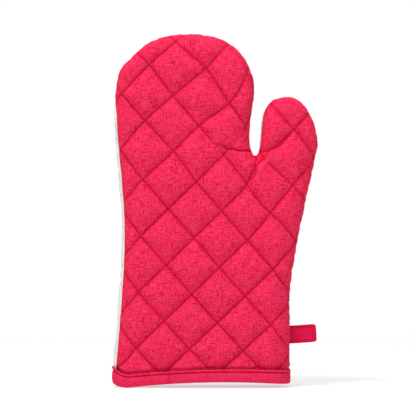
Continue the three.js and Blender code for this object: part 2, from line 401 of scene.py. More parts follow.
class Net:
    """A mesh for one side: its points' places in front view, turns and normals, and what is sewn."""

    def __init__(self, side, knot, divisions, spacing):
        self.side, self.knot, self.divisions = side, knot, divisions
        points, normals = outline(spacing)
        rows = self.band(points, normals)
        self.rings = np.arange(len(points) * (BAND_ROWS + 1)).reshape(BAND_ROWS + 1, -1)
        parts = (np.concatenate(part) for part in zip(*rows))
        self.flat, self.turn, self.normals, self.sewn, self.cut = parts
        self.faces = quads(*self.rings.shape)
        self.fill()
        self.uv = to_lattice(self.cut, knot)

    def band(self, points, normals):
        first = seam_turn(points) * -self.side
        rows = []
        for k in range(BAND_ROWS + 1):
            turn = first + (BAND_TURN - first) * k / BAND_ROWS
            rows.append(self.snap(points, turn, normals))
        return rows

    def snap(self, points, turn, normals):
        """Moves the row's points that are nearest to lines of quilting on to them."""
        at = points - normals * (ROLL * (1 - np.cos(turn)))[:, None]
        cut = roll_out(points, turn, normals)
        uv = to_lattice(cut, self.knot)
        turn, normals = turn.copy(), normals.copy()
        sewn = np.zeros(len(at), bool)
        for axis in (0, 1):
            whole = np.floor(uv[:, axis])
            for i in np.nonzero(np.diff(whole))[0]:
                level = max(whole[i], whole[i + 1])
                t = (level - uv[i, axis]) / (uv[i + 1, axis] - uv[i, axis])
                j, other, share = (i, i + 1, t) if t < 0.5 else (i + 1, i, 1 - t)
                if j in (0, len(at) - 1):
                    continue
                for values in (at, cut, turn, normals):
                    values[j] += (values[other] - values[j]) * share
                normals[j] /= np.linalg.norm(normals[j])
                sewn[j] = True
        return at, turn, normals, sewn, cut

    def grid(self):
        """The points inside the band, finely spaced on the lattice, and which of them are sewn."""
        n = self.divisions
        reach = np.arange(-LATTICE_REACH * n, LATTICE_REACH * n + 1)
        i, j = (steps.ravel() for steps in np.meshgrid(reach, reach))
        flat = from_lattice(np.column_stack([i, j]) / n, self.knot)
        x, z = flat.T
        near = (np.abs(x) < NET_HALF_WIDTH) & (z > PANEL_FOOT + 1) & (z < LENGTH)
        i, j, flat = i[near], j[near], flat[near]
        inset, normals = EDGE.inside(flat)
        keep = inset > INNER_RING + 0.55 * SIDE / n
        on_line = (i % n == 0) | (j % n == 0)
        return flat[keep], turn_of(inset[keep]), normals[keep], on_line[keep]

    def fill(self):
        """Joins the band to the lattice's points inside it."""
        flat, turn, normals, sewn = self.grid()
        ring = self.rings[-1]
        left, right = self.flat[ring[0]], self.flat[ring[-1]]
        count = round((right[0] - left[0]) / (SIDE / self.divisions))
        across = np.linspace(left[0], right[0], count + 1)[-2:0:-1]
        foot = np.column_stack([across, np.full(count - 1, PANEL_FOOT)])
        foot_inset, foot_normals = EDGE.inside(foot)
        border = np.concatenate([self.flat[ring], foot])
        points = np.concatenate([border, flat])
        loop = list(range(len(border)))
        out = delaunay_2d_cdt([Vector(p) for p in points], [], [loop], 1, 1e-6, True)
        found = np.array([tuple(p) for p in out[0]])
        middles = np.array([found[list(face)].mean(axis=0) for face in out[2]])
        kept = within(middles, border)
        start = len(self.flat)
        names = {}
        for k, sources in enumerate(out[3]):
            source = min(sources)
            names[k] = ring[source] if source < len(ring) else start + source - len(ring)
        self.flat = np.concatenate([self.flat, foot, flat])
        self.cut = np.concatenate([self.cut, foot, flat])
        self.turn = np.concatenate([self.turn, turn_of(foot_inset), turn])
        self.normals = np.concatenate([self.normals, foot_normals, normals])
        self.sewn = np.concatenate([self.sewn, np.zeros(len(foot), bool), sewn])
        self.faces += [tuple(names[k] for k in out[2][i]) for i in np.nonzero(kept)[0]]

    def foot_row(self):
        return np.nonzero(self.flat[:, 1] < PANEL_FOOT + 0.5)[0]

    def place(self, depth):
        return place(self.flat, self.turn, self.normals, self.side, depth)

    def pattern(self):
        """Places on the flat cut of the fabric: the rounded edge rolled out."""
        rolled = np.interp(self.turn, EDGE_TURNS, EDGE_ARCS)
        shown = ROLL * (1 - np.cos(self.turn))
        spread = (EDGE_ARCS[-1] - rolled) - (ROLL - shown)
        return self.flat + self.normals * np.where(self.turn < TURN, spread, 0)[:, None]


# -------- how the fabric lies


def along_fold(flat, fold):
    """Distance to a crease, how far along it the nearest place is, from 0 to 1, and that place."""
    line = evenly(np.array(fold, float), 0.5)
    gaps = np.linalg.norm(flat[:, None] - line[None], axis=2)
    nearest = gaps.argmin(axis=1)
    return gaps[np.arange(len(flat)), nearest], nearest / (len(line) - 1), line[nearest]


def fold_depth(flat, reach=0):
    """How deep the creases are at these places, or the deepest within about that reach."""
    deepest = np.zeros(len(flat))
    for depth, fold in FOLDS:
        gap, along, _ = along_fold(flat, fold)
        gap = np.maximum(gap - reach, 0)
        valley = 0.55 * np.exp(-((gap / FOLD_CREASE) ** 2)) + 0.45 * np.exp(-gap / FOLD_WIDTH)
        deepest = np.maximum(deepest, depth * (1 - along**4) * valley)
    return deepest


def pinch(flat):
    """How the cloth is drawn together towards the creases."""
    moves = np.zeros_like(flat)
    for depth, fold in FOLDS:
        gap, along, nearest = along_fold(flat, fold)
        pull = PINCH * depth / FOLDS[0][0] * np.exp(-((gap / FOLD_WIDTH) ** 2)) * (1 - along**4)
        moves += pull[:, None] * (nearest - flat)
    return moves


def gathered(flat):
    """The share of the quilting that the gathers hide at these places."""
    hidden = np.zeros(len(flat))
    for share, line in GATHERS:
        gap, _, _ = along_fold(flat, line)
        hidden = np.maximum(hidden, share * np.exp(-((gap / GATHER_REACH) ** 4)))
    return hidden


def binding_height(x):
    return np.interp(x, (CUFF_LEFT, CUFF_RIGHT), (BINDING_LEFT, BINDING_RIGHT))


def squeeze(flat, reach=0):
    """How deep the binding holds the layers in, behind it and just above it."""
    above = flat[:, 1] - binding_height(flat[:, 0]) - reach
    return BINDING_SQUEEZE * (1 - smooth(above, 0.2, 3.4))


def press_cuff(points, side):
    """Tucks the shell in behind the binding."""
    low = np.nonzero(points[:, 2] < BINDING_RIGHT + 4)[0]
    flat = points[low, ::2]
    inset, normals = EDGE.inside(flat)
    turn = turn_of(inset)
    surface = place(flat, turn, normals, side, 0)
    room = np.maximum(FOLD_LIMIT - side * (surface[:, 1] - points[low, 1]), 0)
    held = place(flat, turn, normals, side, np.minimum(squeeze(flat), room))
    pressed = points.copy()
    pressed[low] += held - surface
    return pressed


def press_folds(points, side):
    """Presses the creases into the shell, down to the stitching at most."""
    flat = points[:, ::2]
    left, low, high = CREASED
    near = np.nonzero((flat[:, 0] > left) & (flat[:, 1] > low) & (flat[:, 1] < high))[0]
    inset, _ = EDGE.inside(flat[near])
    surface = half_depth(flat[near, 1]) * np.sin(turn_of(inset))
    depth = surface - side * points[near, 1]
    fold = fold_depth(flat[near]) * smooth(inset, 0, 3)
    pressed = points.copy()
    pressed[near, 1] -= side * np.minimum(fold, np.maximum(FOLD_LIMIT - depth, 0))
    pressed[near, ::2] += pinch(flat[near]) * smooth(inset, 0, 6)[:, None]
    return pressed


def groove_depth(flatness):
    """How much deeper the shell lies on the stitching than beside it."""
    return (GROOVE - SHELL_REST) * (EDGE_GROOVE + (1 - EDGE_GROOVE) * flatness)


def shell_depth(net):
    """How deep the quilted shell lies under the mitt's outer surface."""
    flatness = smooth(net.turn, 0, TURN)
    gap = line_distance(net.uv)
    groove = groove_depth(flatness) * np.exp(-gap / GROOVE_WIDTH)
    quilt = SHELL_REST * flatness + groove * (1 - gathered(net.flat))
    first = net.turn[net.rings[0]]
    seam = np.zeros(len(net.flat))
    for ring in net.rings:
        arc = (net.turn[ring] - first) * HALF_DEPTH
        seam[ring] = SEAM_VALLEY * np.exp(-arc / SEAM_VALLEY_WIDTH)
    uneven = UNEVEN * lumps(net.flat, 45, 1 + net.side)
    return np.maximum(quilt, seam) + uneven * flatness


def lift_cuff(points):
    """Raises the middle of the cuff, which arches off the floor, and the corner that curls up."""
    x, _, z = points.T
    arch = np.clip(1 - ((x - CUFF_LIFT_CENTRE) / CUFF_LIFT_HALF) ** 2, 0, 1)
    fade = np.clip(1 - z / CUFF_LIFT_FADE, 0, 1) ** 2
    corner = np.clip((CUFF_LEFT + CORNER_WIDTH - x) / CORNER_WIDTH, 0, 1) ** 2
    curl = smooth(z, -8, CORNER_TOP) * (1 - smooth(z, CORNER_TOP, CORNER_FADE))
    lifted = points.copy()
    lifted[:, 2] += CUFF_LIFT * arch * fade + CORNER_LIFT * corner * curl
    return lifted


# -------- Blender meshes


def make_mesh(name, points, faces, pattern=None, materials=()):
    mesh = bpy.data.meshes.new(name)
    mesh.from_pydata((np.asarray(points) * MM).tolist(), [], [tuple(map(int, f)) for f in faces])
    if pattern is not None:
        layer = mesh.uv_layers.new(name="weave")
        corners = np.zeros(len(mesh.loops), np.int32)
        mesh.loops.foreach_get("vertex_index", corners)
        layer.data.foreach_set("uv", (np.asarray(pattern)[corners] / 100).astype(np.float32).ravel())
    for material in materials:
        mesh.materials.append(material)
    mesh.polygons.foreach_set("use_smooth", [True] * len(mesh.polygons))
    mesh.validate()
    obj = bpy.data.objects.new(name, mesh)
    bpy.context.scene.collection.objects.link(obj)
    return obj


def select_only(obj):
    for other in bpy.context.selected_objects:
        other.select_set(False)
    obj.select_set(True)
    bpy.context.view_layer.objects.active = obj


def quads(rows, columns, rows_close=False, columns_close=False):
    """Faces between rows of points. The rows, and each row itself, may close to a ring."""
    faces = []
    for r in range(rows if rows_close else rows - 1):
        here, below = r * columns, (r + 1) % rows * columns
        for k in range(columns if columns_close else columns - 1):
            m = (k + 1) % columns
            faces.append((here + k, here + m, below + m, below + k))
    return faces


def tube_faces(length, width):
    """Faces of a closed solid whose points come as a row of equal rings, with a face on each end.

    The end faces are wound the other way from the sides. They lie hidden inside the mitt.
    """
    last = (length - 1) * width
    ends = [tuple(range(width)), tuple(reversed(range(last, last + width)))]
    return quads(length, width, columns_close=True) + ends


def strip_pattern(length, step, across):
    """Places on a strip's flat cut, for rings of points that lie that step apart along it."""
    run, tall = np.meshgrid(np.arange(length) * step, across, indexing="ij")
    return np.column_stack([run.ravel(), tall.ravel()])


@contextmanager
def editing(obj):
    mesh = bmesh.new()
    mesh.from_mesh(obj.data)
    yield mesh
    mesh.to_mesh(obj.data)
    mesh.free()


def face_outwards(obj, towards):
    """Turns all faces of an open sheet so that they look along towards, on the whole."""
    with editing(obj) as mesh:
        bmesh.ops.recalc_face_normals(mesh, faces=mesh.faces)
        total = sum((f.normal * f.calc_area() for f in mesh.faces), Vector())
        if total.dot(Vector(towards)) < 0:
            bmesh.ops.reverse_faces(mesh, faces=mesh.faces)


def square_up(obj):
    """Joins the triangulation's pairs of triangles into squares."""
    limits = dict.fromkeys(("angle_face_threshold", "angle_shape_threshold"), math.radians(40))
    with editing(obj) as mesh:
        triangles = [f for f in mesh.faces if len(f.verts) == 3]
        bmesh.ops.join_triangles(mesh, faces=triangles, **limits)


def crease_lines(obj, net):
    """Keeps the lines of quilting sharp when the mesh is smoothed, and records painted shade along them.
    """
    whole = np.round(net.uv)
    on = np.abs(net.uv - whole) < 0.03
    ends = np.zeros(len(obj.data.edges) * 2, np.int32)
    obj.data.edges.foreach_get("vertices", ends)
    a, b = ends.reshape(-1, 2).T
    along = (on[a] & on[b] & (whole[a] == whole[b])).any(axis=1)
    crease = obj.data.attributes.new("crease_edge", "FLOAT", "EDGE")
    crease.data.foreach_set("value", along.astype(np.float32))
    # Painted shade along the grooves of the quilting, less where the gathers hide them.
    record_painted_shade(obj, np.exp(-line_distance(net.uv) / PAINTED_SHADE_WIDTH) * (1 - gathered(net.flat)))


def record_painted_shade(obj, painted_shade_mask):
    """Records, point by point, how much shade is painted on the cloth."""
    layer = obj.data.attributes.new("painted_shade", "FLOAT", "POINT")
    layer.data.foreach_set("value", painted_shade_mask.astype(np.float32))


def record_crease_shade(obj, points):
    """Adds painted shade in the crotch's creases to the record of painted shade."""
    painted_shade_mask = np.zeros(len(points), np.float32)
    layer = obj.data.attributes["painted_shade"].data
    layer.foreach_get("value", painted_shade_mask)
    crease_shade = FOLD_SHADE * (fold_depth(points[:, ::2]) / FOLDS[0][0]) ** 2
    layer.foreach_set("value", np.maximum(painted_shade_mask, crease_shade).astype(np.float32))


def apply_modifier(obj, name):
    select_only(obj)
    bpy.ops.object.modifier_apply(modifier=name)


def subdivide(obj):
    modifier = obj.modifiers.new("Smooth", "SUBSURF")
    modifier.levels = modifier.render_levels = 1
    apply_modifier(obj, modifier.name)


def puff(obj, pinned):
    """Blows the quilted fabric up between its stitches."""
    group = obj.vertex_groups.new(name="sewn")
    group.add([int(i) for i in pinned], 1.0, "REPLACE")
    cloth = obj.modifiers.new("Cloth", "CLOTH")
    settings = cloth.settings
    settings.quality = 7
    settings.mass = 0.08
    settings.tension_stiffness = settings.compression_stiffness = 22
    settings.shear_stiffness = 8
    settings.bending_stiffness = 0.08
    settings.tension_damping = settings.compression_damping = 8
    settings.air_damping = 3
    settings.vertex_group_mass = "sewn"
    settings.use_pressure = True
    settings.uniform_pressure_force = PUFF_PRESSURE
    settings.shrink_min = -SPARE_FABRIC
    settings.effector_weights.gravity = 0
    cloth.collision_settings.use_collision = False
    cloth.point_cache.frame_start = 1
    cloth.point_cache.frame_end = PUFF_FRAMES
    scene = bpy.context.scene
    scene.frame_start = 1
    scene.frame_end = PUFF_FRAMES
    for number in range(1, PUFF_FRAMES + 1):
        scene.frame_set(number)
    apply_modifier(obj, cloth.name)
    scene.frame_set(1)


def surface_area(points, faces):
    total = 0.0
    for face in faces:
        a = points[face[0]]
        for b, c in zip(face[1:], face[2:]):
            total += np.linalg.norm(np.cross(points[b] - a, points[c] - a)) / 2
    return total


# -------- materials


class Nodes:
    """A short way to write a material's nodes."""

    def __init__(self, name):
        self.material = bpy.data.materials.new(name)
        self.material.use_nodes = True
        self.tree = self.material.node_tree
        self.tree.nodes.clear()
        self.shader = self.add("ShaderNodeBsdfPrincipled")
        self.add("ShaderNodeOutputMaterial", {"Surface": self.shader.outputs["BSDF"]})

    def add(self, kind, inputs=None, **settings):
        node = self.tree.nodes.new(kind)
        for key, value in settings.items():
            setattr(node, key, value)
        self.feed(node, inputs or {})
        return node

    def feed(self, node, inputs):
        """Sets a node's inputs by name or number, each to a number, a colour or a node's output."""
        for name, value in inputs.items():
            socket = node.inputs[name]
            if isinstance(value, bpy.types.NodeSocket):
                self.tree.links.new(value, socket)
            else:
                socket.default_value = (*value, 1) if socket.type == "RGBA" else value

    def shade(self, inputs):
        self.feed(self.shader, inputs)

    def weave_place(self, scale):
        """The place on the cloth's flat cut, in millimetres, stretched by scale."""
        uv = self.add("ShaderNodeUVMap", uv_map="weave").outputs["UV"]
        scaled = (scale[0] * 100, scale[1] * 100, 1)
        return self.add("ShaderNodeMapping", {"Scale": scaled, "Vector": uv}).outputs["Vector"]

    def noise(self, scale, detail=2, roughness=0.5, distortion=0):
        """Noise whose lumps are about 1/scale millimetres each way."""
        inputs = {"Vector": self.weave_place(scale), "Scale": 1, "Detail": detail}
        inputs |= {"Roughness": roughness, "Distortion": distortion}
        return self.add("ShaderNodeTexNoise", inputs, noise_dimensions="2D").outputs["Fac"]

    def wave(self, scale, direction):
        inputs = {"Vector": self.weave_place(scale), "Scale": 1, "Distortion": 1.2}
        inputs |= {"Detail": 1, "Detail Scale": 0.4}
        bands = {"wave_type": "BANDS", "bands_direction": direction}
        return self.add("ShaderNodeTexWave", inputs, **bands).outputs["Fac"]

    def flecks(self, spacing, radius):
        """Short dark dashes, some clustered: 1 inside a dash and 0 outside."""
        inputs = {"Vector": self.weave_place((1 / spacing, 1.25 / spacing)), "Scale": 1}
        cells = self.add("ShaderNodeTexVoronoi", inputs, voronoi_dimensions="2D")
        colour = self.add("ShaderNodeSeparateColor", {"Color": cells.outputs["Color"]})
        clusters = self.math("MULTIPLY", self.noise((0.07, 0.07)), 1.6)
        chance = self.math("ADD", colour.outputs["Red"], clusters)
        spot = self.ramp(cells.outputs["Distance"], radius * 1.4, radius)
        return self.math("MULTIPLY", spot, self.ramp(chance, 1.48, 1.78))

    def painted_shade_mask(self):
        """How much shade is painted here: 1 on the stitching's grooves and in creases, and 0 away from
        them.
        """
        return self.add("ShaderNodeAttribute", attribute_name="painted_shade").outputs["Fac"]

    def math(self, operation, a, b):
        return self.add("ShaderNodeMath", {0: a, 1: b}, operation=operation).outputs[0]

    def ramp(self, value, low, high, start=0.0, end=1.0):
        """value from low..high stretched to start..end."""
        inputs = {"Value": value, "From Min": low, "From Max": high, "To Min": start, "To Max": end}
        return self.add("ShaderNodeMapRange", inputs).outputs["Result"]

    def mix(self, factor, a, b):
        """Colour a where factor is 0 and colour b where it is 1."""
        return self.add("ShaderNodeMix", {"Factor": factor, 6: a, 7: b}, data_type="RGBA").outputs[2]

    def bump(self, height, distance, strength=1.0, after=None):
        inputs = {"Strength": strength, "Distance": distance * MM, "Height": height}
        if after is not None:
            inputs["Normal"] = after
        return self.add("ShaderNodeBump", inputs).outputs["Normal"]


def woven(name, pale, deep, fleck, painted_shade, shade=0.0, tint=(1, 1, 1), thread=0.55, slubs=1.0):
    """A plain-weave cotton with slubs: colours are linear, and thread is the threads' spacing.

    The colour given after fleck is painted shade, for the grooves along the stitching and the creases,
    and shade is how much of it shows.
    """
    n = Nodes(name)
    across = n.noise((0.14, 1.1), detail=3, roughness=0.7)
    upright = n.noise((1.1, 0.14), detail=3, roughness=0.7)
    streaks = n.math("ADD", n.math("MULTIPLY", across, 0.5), n.math("MULTIPLY", upright, 0.5))
    colour = n.mix(n.ramp(streaks, 0.36, 0.60), deep, pale)
    # Painted shade: the shade colour is mixed in where the mesh records painted shade.
    colour = n.mix(n.math("MULTIPLY", n.painted_shade_mask(), shade), colour, painted_shade)
    colour = n.mix(n.math("MULTIPLY", n.flecks(2.3, 0.24), 0.9 * slubs), colour, fleck)
    pitch = 1 / thread / 6.28
    warp, weft = (n.wave((pitch, pitch), direction) for direction in "XY")
    weave = n.math("ADD", n.math("MULTIPLY", warp, weft), n.math("MULTIPLY", streaks, 1.5))
    soft = n.noise((0.22, 0.22))
    n.shade({
        "Base Color": colour,
        "Normal": n.bump(soft, 0.5, 0.5, after=n.bump(weave, 0.12, 0.8)),
        "Roughness": n.ramp(streaks, 0.36, 0.64, 0.8, 0.95),
        "Sheen Weight": 0.012,
        "Sheen Roughness": 0.45,
        "Sheen Tint": tint,
        "Specular IOR Level": 0.03,
    })
    return n.material


def spun(name, colour, dark):
    """Sewing thread."""
    n = Nodes(name)
    spot = n.add("ShaderNodeTexCoord").outputs["Object"]
    ply = n.add("ShaderNodeTexNoise", {"Scale": 2500, "Vector": spot}).outputs["Fac"]
    n.shade({
        "Base Color": n.mix(n.ramp(ply, 0.35, 0.65), dark, colour),
        "Normal": n.bump(ply, 0.06),
        "Roughness": 0.7,
        "Specular IOR Level": 0.1,
    })
    return n.material


def fleece(name):
    """Loose white fibre."""
    n = Nodes(name)
    tufts = n.noise((0.35, 0.35), detail=5, roughness=0.7, distortion=1)
    n.shade({
        "Base Color": n.mix(n.ramp(tufts, 0.3, 0.7), (0.74, 0.72, 0.68), (0.86, 0.85, 0.82)),
        "Normal": n.bump(tufts, 0.8),
        "Roughness": 0.95,
    })
    return n.material


PINK_SHEEN = (1, 0.45, 0.55)
PINK = woven(
    "raspberry cotton",
    pale=(0.79, 0.041, 0.118),
    deep=(0.60, 0.001, 0.035),
    fleck=(0.44, 0.001, 0.012),
    tint=PINK_SHEEN,
    # painted shade in the quilting's grooves and the crotch's creases
    painted_shade=(0.54, 0.001, 0.014),
    shade=0.75,
)
CREAM = woven(
    "natural cotton",
    pale=(0.76, 0.78, 0.74),
    deep=(0.66, 0.66, 0.60),
    fleck=(0.45, 0.38, 0.28),
    # painted shade along the quilting's grooves
    painted_shade=(0.45, 0.38, 0.28),
    slubs=0.5,
    shade=0.3,
)
LINING = woven(
    "cotton lining",
    pale=(0.74, 0.71, 0.64),
    deep=(0.62, 0.58, 0.50),
    fleck=(0.45, 0.40, 0.33),
    painted_shade=(0.45, 0.40, 0.33),
    thread=0.8,
    slubs=0.3,
)
TAPE = woven(
    "raspberry tape",
    pale=(0.75, 0.028, 0.104),
    deep=(0.66, 0.012, 0.062),
    fleck=(0.40, 0.003, 0.025),
    tint=PINK_SHEEN,
    slubs=0.6,
    # painted shade for the gap above the ridge and the stitching's groove, also used for the dark line at
    # the join
    painted_shade=(0.42, 0.001, 0.018),
    shade=0.85,
)
# The loop's tape is coloured darker than the shell's cotton, which paints in the loop's shade; its rolled
# rims get more painted shade.
LOOP_TAPE = woven(
    "raspberry loop tape",
    pale=(0.71, 0.012, 0.072),
    deep=(0.56, 0.006, 0.046),
    fleck=(0.32, 0.002, 0.020),
    tint=PINK_SHEEN,
    slubs=0.5,
    painted_shade=(0.60, 0.001, 0.028),
    shade=0.9,
)
THREAD = spun("raspberry thread", (0.52, 0.002, 0.045), (0.36, 0.001, 0.026))
CREAM_THREAD = spun("natural thread", (0.62, 0.58, 0.50), (0.45, 0.41, 0.34))
FLEECE = fleece("polyester wadding")


# -------- layers


def shell(name, side, knot, divisions, material):
    """The outer fabric of one side, puffed up between its stitches."""
    net = Net(side, knot, divisions, spacing=2.0)
    rest = net.place(0)
    obj = make_mesh(name, net.place(shell_depth(net)), net.faces, net.pattern(), [material])
    face_outwards(obj, (0, side, 0))
    square_up(obj)
    held = net.sewn & (gathered(net.flat) < 0.8)
    pinned = set(np.nonzero(held)[0]) | set(net.rings[0]) | set(net.foot_row())
    puff(obj, sorted(pinned))
    crease_lines(obj, net)
    subdivide(obj)
    # Painted shade in the crotch's creases.
    record_crease_shade(obj, points_of(obj))
    reshape(obj, lambda points: lift_cuff(press_cuff(press_folds(points, side), side)))
    obj["cut_area"] = surface_area(rest, net.faces) * MM * MM
    return obj


def points_of(obj):
    """A mesh's points, in millimetres."""
    points = np.zeros(len(obj.data.vertices) * 3)
    obj.data.vertices.foreach_get("co", points)
    return points.reshape(-1, 3) / MM


def reshape(obj, move):
    """Moves all of a mesh's points, in millimetres."""
    moved = move(points_of(obj)) * MM
    obj.data.vertices.foreach_set("co", moved.ravel())
    obj.data.update()


def lining(name, side, knot):
    net = Net(side, knot, 8, spacing=4.0)
    quilt = 1.2 * smooth(net.turn, 0, TURN) * np.exp(-line_distance(net.uv) / GROOVE_WIDTH)
    depth = LINING_DEPTH + 0.4 - quilt
    obj = make_mesh(name, net.place(depth), net.faces, net.pattern(), [LINING])
    face_outwards(obj, (0, -side, 0))
    subdivide(obj)
    reshape(obj, lift_cuff)
    obj["cut_area"] = surface_area(net.place(LINING_DEPTH), net.faces) * MM * MM
    return obj


def boundary(faces):
    """The directed edges that only one face has."""
    edges = {}
    for face in faces:
        for a, b in zip(face, face[1:] + face[:1]):
            edges[(int(a), int(b))] = True
    return [(a, b) for a, b in edges if (b, a) not in edges]


def padding(name, side, knot):
    """The wadding between the shell and the lining, thin along the stitching."""
    net = Net(side, knot, 8, spacing=4.0)
    quilt = smooth(net.turn, 0, TURN) * np.exp(-line_distance(net.uv) / GROOVE_WIDTH)
    pressed = fold_depth(net.flat, reach=5) + squeeze(net.flat, reach=6)
    outer_depth = np.maximum(shell_depth(net), np.minimum(shell_depth(net) + pressed, FOLD_LIMIT))
    rim = RIM_GAP * (1 - smooth(net.turn, 0.35 * TURN, TURN))
    outer = net.place(outer_depth + PADDING_GAP + rim)
    inner = net.place(PADDING_BACK - 0.6 * quilt)
    count = len(outer)
    under = [tuple(i + count for i in reversed(face)) for face in net.faces]
    walls = [(b, a, a + count, b + count) for a, b in boundary(net.faces)]
    faces = [*net.faces, *under, *walls]
    pattern = np.concatenate([net.pattern()] * 2)
    obj = make_mesh(name, np.concatenate([outer, inner]), faces, pattern, [FLEECE])
    reshape(obj, lift_cuff)
    return obj


# -------- stitching


def stitch_mesh(runs, radius, lift=0.12):
    """Points and faces of a row of short thread capsules along each run of holes."""
    points, faces = [], []
    sides = 6
    shape = [(0.04, 0.3), (0.16, 0.85), (0.5, 1.0), (0.84, 0.85), (0.96, 0.3)]
    last = (len(shape) - 1) * sides
    capsule = quads(len(shape), sides, columns_close=True)
    capsule += [tuple(reversed(range(sides))), tuple(range(last, last + sides))]
    for holes, ups in runs:
        for a, b, up in zip(holes, holes[1:], ups):
            along = b - a
            across = np.cross(along, up)
            across /= np.linalg.norm(across)
            start = len(points)
            for share, wide in shape:
                centre = a + along * share + up * lift * math.sin(math.pi * share)
                for k in range(sides):
                    angle = 2 * math.pi * k / sides
                    out = across * math.cos(angle) + up * math.sin(angle)
                    points.append(centre + radius * wide * out)
            faces += [tuple(start + k for k in face) for face in capsule]
    return np.array(points), faces


def quilt_runs(side, knot):
    """The needle holes of every line of quilting, in space."""
    runs = []
    fine = np.arange(-LATTICE_REACH, LATTICE_REACH, 1 / 120)
    for axis in (0, 1):
        for level in range(-LATTICE_REACH, LATTICE_REACH + 1):
            uv = np.zeros((len(fine), 2))
            uv[:, axis] = level
            uv[:, 1 - axis] = fine
            flat, turn, normals, inset = roll_up(from_lattice(uv, knot))
            first = seam_turn(flat) * -side
            shown = (inset > -EDGE_ARCS[-1]) & (turn > first + 0.12) & (flat[:, 1] > 12)
            shown &= (inset > INNER_RING) | (crotch_share(flat) < 0.1)
            flatness = smooth(turn, 0, TURN)
            depth = SHELL_REST * flatness + groove_depth(flatness) - THREAD_RADIUS * 0.6
            line = place(flat, turn, normals, side, depth)
            above = place(flat, turn, normals, side, depth - 1)
            jumps = np.linalg.norm(np.diff(line, axis=0), axis=1) > STITCH
            ends = np.nonzero((shown[1:] != shown[:-1]) | jumps)[0] + 1
            for part in np.split(np.arange(len(fine)), ends):
                if len(part) > 12 and shown[part[0]]:
                    holes = evenly(line[part], STITCH)
                    ups = evenly(above[part], STITCH)[: len(holes)]
                    if len(ups) == len(holes):
                        runs.append((holes, unit(ups - holes)))
    return runs


def quilting(name, side, knot, material):
    points, faces = stitch_mesh(quilt_runs(side, knot), THREAD_RADIUS)
    return make_mesh(name, lift_cuff(points), faces, None, [material])


# -------- cuff


def cuff_section(spacing):
    """Points round the cuff seen from above, and their outward normals. It starts at the left corner."""
    quarter = np.linspace(0, TURN, 14)
    deep = half_depth(6)
    left, right = CUFF_LEFT + ROLL, CUFF_RIGHT - ROLL
    corner = np.column_stack([ROLL * np.cos(quarter), -deep * np.sin(quarter)])
    front = np.concatenate([corner * (-1, 1) + (left, 0), corner[::-1] + (right, 0)])
    back = front[::-1] * (1, -1)
    ring = np.concatenate([front, back[1:]])
    ring = evenly(ring, spacing)[:-1]
    along = np.roll(ring, -1, axis=0) - np.roll(ring, 1, axis=0)
    return ring, unit(np.column_stack([along[:, 1], -along[:, 0]]))


# The binding's section: how far outside the shell's surface, and the share of the binding's height
BINDING_SECTION = [
    (-0.9, 0.93),
    (-0.1, 0.985),
    (0.7, 1.0),
    (1.35, 0.975),
    (1.6, 0.92),
    (1.4, 0.865),
    (0.75, 0.83),
    (0.3, 0.79),
    (0.7, 0.74),
    (1.2, 0.66),
    (1.5, 0.52),
    (1.5, 0.36),
    (1.3, 0.2),
    (0.8, 0.08),
    (-0.3, 0.015),
    (-2.5, 0.0),
    (-5.0, 0.0),
    (-7.0, 0.03),
    (-8.1, 0.12),
    (-8.5, 0.3),
    (-8.4, 0.6),
    (-8.3, 0.85),
    (-8.6, 0.92),
    (-8.4, 0.98),
    (-7.6, 0.985),
    (-7.0, 0.93),
]


def join_step(x, y):
    """The binding's end lies over its start, a little thicker, on the front."""
    past = x - BINDING_JOIN
    return np.where(y < 0, smooth(past, -0.5, 0.4) * (1 - smooth(past, 6, 9)), 0)


def cuff_binding():
    """A folded tape round the rim, with a rolled ridge above its stitching."""
    ring, normals = cuff_section(BINDING_STEP)
    x, y = ring.T
    height = binding_height(x)
    around = np.arange(len(ring)) * BINDING_STEP
    straight = np.column_stack([around, np.zeros(len(ring))])
    ripple, ridge = lumps(straight, 9, 5), lumps(straight, 5, 6)
    step = join_step(x, y)
    groove = 0.5 + 0.5 * np.cos(2 * math.pi * around / STITCH)
    join = 0.9 * np.exp(-(((x - BINDING_JOIN) / 0.7) ** 2)) * (y < 0)
    rows, painted_shade_mask = [], []
    for out, share in BINDING_SECTION:
        outside = smooth(out, -1, 1)
        upper = smooth(share, 0.8, 0.95)
        snug = 1 - 0.6 * smooth(x, CUFF_RIGHT - 10, CUFF_RIGHT) * outside
        push = out * snug + outside * (0.18 * ripple + 0.5 * step + 0.15 * ridge * upper)
        if 0.75 < share < 0.83 and out > 0:
            push = push - 0.35 * groove
        z = height * share + 0.25 * ripple * upper
        rows.append(np.column_stack([ring + normals * push[:, None], z]))
        # Painted shade in the gap where the tape's top edge tucks behind the shell and in the stitching's
        # groove, with the dark line at the tape's join.
        gap_shade = smooth(share, 0.9, 0.93) * (1 - outside)
        sewn = math.exp(-(((share - 0.81) / 0.03) ** 2))
        painted_shade_mask.append(np.maximum(join * outside, max(gap_shade, sewn)))
    run = np.cumsum([0] + [math.dist(a, b) for a, b in zip(BINDING_SECTION, BINDING_SECTION[1:])])
    pattern = []
    for length, (_, share) in zip(run, BINDING_SECTION):
        tall = length + share * 12
        pattern.append(np.column_stack([around + tall, around - tall]) * BIAS)
    points = lift_cuff(np.concatenate(rows))
    faces = quads(len(rows), len(ring), rows_close=True, columns_close=True)
    obj = make_mesh("cuff_tape", points, faces, np.concatenate(pattern), [TAPE])
    record_painted_shade(obj, np.concatenate(painted_shade_mask))
    subdivide(obj)
    return obj


